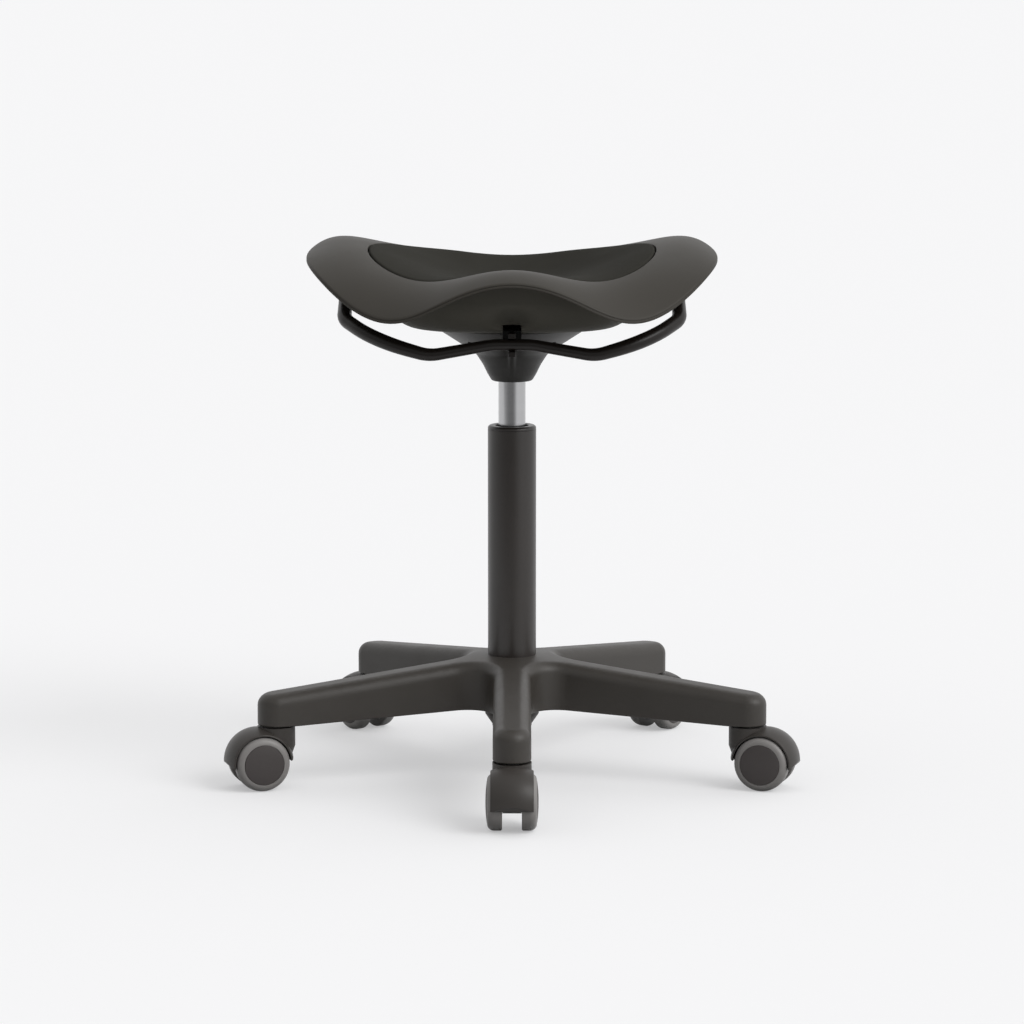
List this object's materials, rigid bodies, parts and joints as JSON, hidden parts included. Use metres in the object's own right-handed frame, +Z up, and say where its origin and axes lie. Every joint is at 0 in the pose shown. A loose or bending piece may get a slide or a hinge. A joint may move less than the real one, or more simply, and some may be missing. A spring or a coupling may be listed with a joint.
{
  "type": "ergonomic stool",
  "caption": "Height-adjustable saddle stool: moulded seat with an inset pad over a gas lift column, a lifting bail under the seat and a star base on twin-wheel casters.",
  "frame": {"origin": "on the floor, on the column's axis, midway between the casters' tracks", "axes": "+Z up along the column, -Y to the raised front of the saddle and the bail's middle, +X to the left of a person facing -Y"},
  "size_m": [0.5906, 0.5655, 0.5525],
  "materials": {
    "seat_moulding": "fine-grained matt moulding",
    "seat_pad": "soft matt, faintly mottled",
    "seat_pan": "fine-grained matt moulding",
    "housing": "fine textured dark paint",
    "bail_steel": "satin black paint",
    "tube_steel": "satin dark paint",
    "cylinder_steel": "ground and satin",
    "steel": "plain turned",
    "base_moulding": "fine-grained matt moulding",
    "caster_moulding": "semi-matt moulding",
    "tread": "soft grey tread",
    "bush_plastic": "plain moulding",
    "bumper_rubber": "plain moulding"
  },
  "bodies": {
    "base": {"star_base": "base_moulding", "column_tube": "tube_steel", "guide_bush": "bush_plastic", "lower_washer": "steel", "thrust_bearing": "steel", "rubber_bumper": "bumper_rubber"},
    "spindle": {"piston_rod": "steel", "piston": "bush_plastic", "upper_washer": "steel", "retaining_clip": "steel"},
    "seat": {"seat_shell": "seat_moulding", "seat_pad": "seat_pad", "seat_pan": "seat_pan", "fixing_plate": "steel", "threaded_inserts": "steel", "fixing_screws": "steel", "mechanism_housing": "housing", "lever_pin": "steel", "bail_bearings": "bush_plastic", "bearing_screws": "steel", "gas_cylinder": "cylinder_steel", "rod_guide": "bush_plastic"},
    "bail": {"height_bail": "bail_steel"},
    "release_lever": {"trip_lever": "steel"},
    "valve": {"valve_pin": "steel"},
    "caster_1": {"caster_stem_1": "steel", "caster_hood_1": "caster_moulding", "caster_axle_1": "steel"},
    "wheel_1_left": {"wheel_core_1_left": "caster_moulding", "wheel_tread_1_left": "tread"},
    "wheel_1_right": {"wheel_core_1_right": "caster_moulding", "wheel_tread_1_right": "tread"},
    "caster_2": {"caster_stem_2": "steel", "caster_hood_2": "caster_moulding", "caster_axle_2": "steel"},
    "wheel_2_left": {"wheel_core_2_left": "caster_moulding", "wheel_tread_2_left": "tread"},
    "wheel_2_right": {"wheel_core_2_right": "caster_moulding", "wheel_tread_2_right": "tread"},
    "caster_3": {"caster_stem_3": "steel", "caster_hood_3": "caster_moulding", "caster_axle_3": "steel"},
    "wheel_3_left": {"wheel_core_3_left": "caster_moulding", "wheel_tread_3_left": "tread"},
    "wheel_3_right": {"wheel_core_3_right": "caster_moulding", "wheel_tread_3_right": "tread"},
    "caster_4": {"caster_stem_4": "steel", "caster_hood_4": "caster_moulding", "caster_axle_4": "steel"},
    "wheel_4_left": {"wheel_core_4_left": "caster_moulding", "wheel_tread_4_left": "tread"},
    "wheel_4_right": {"wheel_core_4_right": "caster_moulding", "wheel_tread_4_right": "tread"},
    "caster_5": {"caster_stem_5": "steel", "caster_hood_5": "caster_moulding", "caster_axle_5": "steel"},
    "wheel_5_left": {"wheel_core_5_left": "caster_moulding", "wheel_tread_5_left": "tread"},
    "wheel_5_right": {"wheel_core_5_right": "caster_moulding", "wheel_tread_5_right": "tread"}
  },
  "joints": [
    {"name": "seat_swivel", "type": "hinge", "parent": "base", "child": "spindle", "pos_m": [0, 0, 0.064], "axis": [0, 0, 1], "continuous": true},
    {"name": "height_slide", "type": "slide", "parent": "spindle", "child": "seat", "axis": [0, 0, 1], "range_m": [-0.02, 0.18]},
    {"name": "bail_lift", "type": "hinge", "parent": "seat", "child": "bail", "pos_m": [0, 0.02, 0.512], "axis": [-1, 0, 0], "range_deg": [0, 4.5]},
    {"name": "lever_trip", "type": "hinge", "parent": "seat", "child": "release_lever", "pos_m": [0, -0.034, 0.4576], "axis": [-1, 0, 0], "range_deg": [0, 8]},
    {"name": "valve_press", "type": "slide", "parent": "seat", "child": "valve", "axis": [0, 0, 1], "range_m": [-0.005, 0], "stiffness_N_per_m": 1500},
    {"name": "caster_swivel_1", "type": "hinge", "parent": "base", "child": "caster_1", "pos_m": [0, -0.2538, 0.0636], "axis": [0, 0, 1], "continuous": true},
    {"name": "wheel_spin_1_left", "type": "hinge", "parent": "caster_1", "child": "wheel_1_left", "pos_m": [0, -0.2727, 0.028], "axis": [1, 0, 0], "continuous": true},
    {"name": "wheel_spin_1_right", "type": "hinge", "parent": "caster_1", "child": "wheel_1_right", "pos_m": [0, -0.2727, 0.028], "axis": [1, 0, 0], "continuous": true},
    {"name": "caster_swivel_2", "type": "hinge", "parent": "base", "child": "caster_2", "pos_m": [0.24138, -0.07843, 0.0636], "axis": [0, 0, 1], "continuous": true},
    {"name": "wheel_spin_2_left", "type": "hinge", "parent": "caster_2", "child": "wheel_2_left", "pos_m": [0.25935, -0.08427, 0.028], "axis": [0.309, 0.9511, 0], "continuous": true},
    {"name": "wheel_spin_2_right", "type": "hinge", "parent": "caster_2", "child": "wheel_2_right", "pos_m": [0.25935, -0.08427, 0.028], "axis": [0.309, 0.9511, 0], "continuous": true},
    {"name": "caster_swivel_3", "type": "hinge", "parent": "base", "child": "caster_3", "pos_m": [0.14918, 0.20533, 0.0636], "axis": [0, 0, 1], "continuous": true},
    {"name": "wheel_spin_3_left", "type": "hinge", "parent": "caster_3", "child": "wheel_3_left", "pos_m": [0.16029, 0.22062, 0.028], "axis": [-0.809, 0.5878, 0], "continuous": true},
    {"name": "wheel_spin_3_right", "type": "hinge", "parent": "caster_3", "child": "wheel_3_right", "pos_m": [0.16029, 0.22062, 0.028], "axis": [-0.809, 0.5878, 0], "continuous": true},
    {"name": "caster_swivel_4", "type": "hinge", "parent": "base", "child": "caster_4", "pos_m": [-0.14918, 0.20533, 0.0636], "axis": [0, 0, 1], "continuous": true},
    {"name": "wheel_spin_4_left", "type": "hinge", "parent": "caster_4", "child": "wheel_4_left", "pos_m": [-0.16029, 0.22062, 0.028], "axis": [-0.809, -0.5878, 0], "continuous": true},
    {"name": "wheel_spin_4_right", "type": "hinge", "parent": "caster_4", "child": "wheel_4_right", "pos_m": [-0.16029, 0.22062, 0.028], "axis": [-0.809, -0.5878, 0], "continuous": true},
    {"name": "caster_swivel_5", "type": "hinge", "parent": "base", "child": "caster_5", "pos_m": [-0.24138, -0.07843, 0.0636], "axis": [0, 0, 1], "continuous": true},
    {"name": "wheel_spin_5_left", "type": "hinge", "parent": "caster_5", "child": "wheel_5_left", "pos_m": [-0.25935, -0.08427, 0.028], "axis": [0.309, -0.9511, 0], "continuous": true},
    {"name": "wheel_spin_5_right", "type": "hinge", "parent": "caster_5", "child": "wheel_5_right", "pos_m": [-0.25935, -0.08427, 0.028], "axis": [0.309, -0.9511, 0], "continuous": true}
  ],
  "couplings": [
    {"joint": "lever_trip", "follows": "bail_lift", "ratio": 1.736},
    {"joint": "valve_press", "follows": "bail_lift", "m_per_rad": -0.0625}
  ]
}
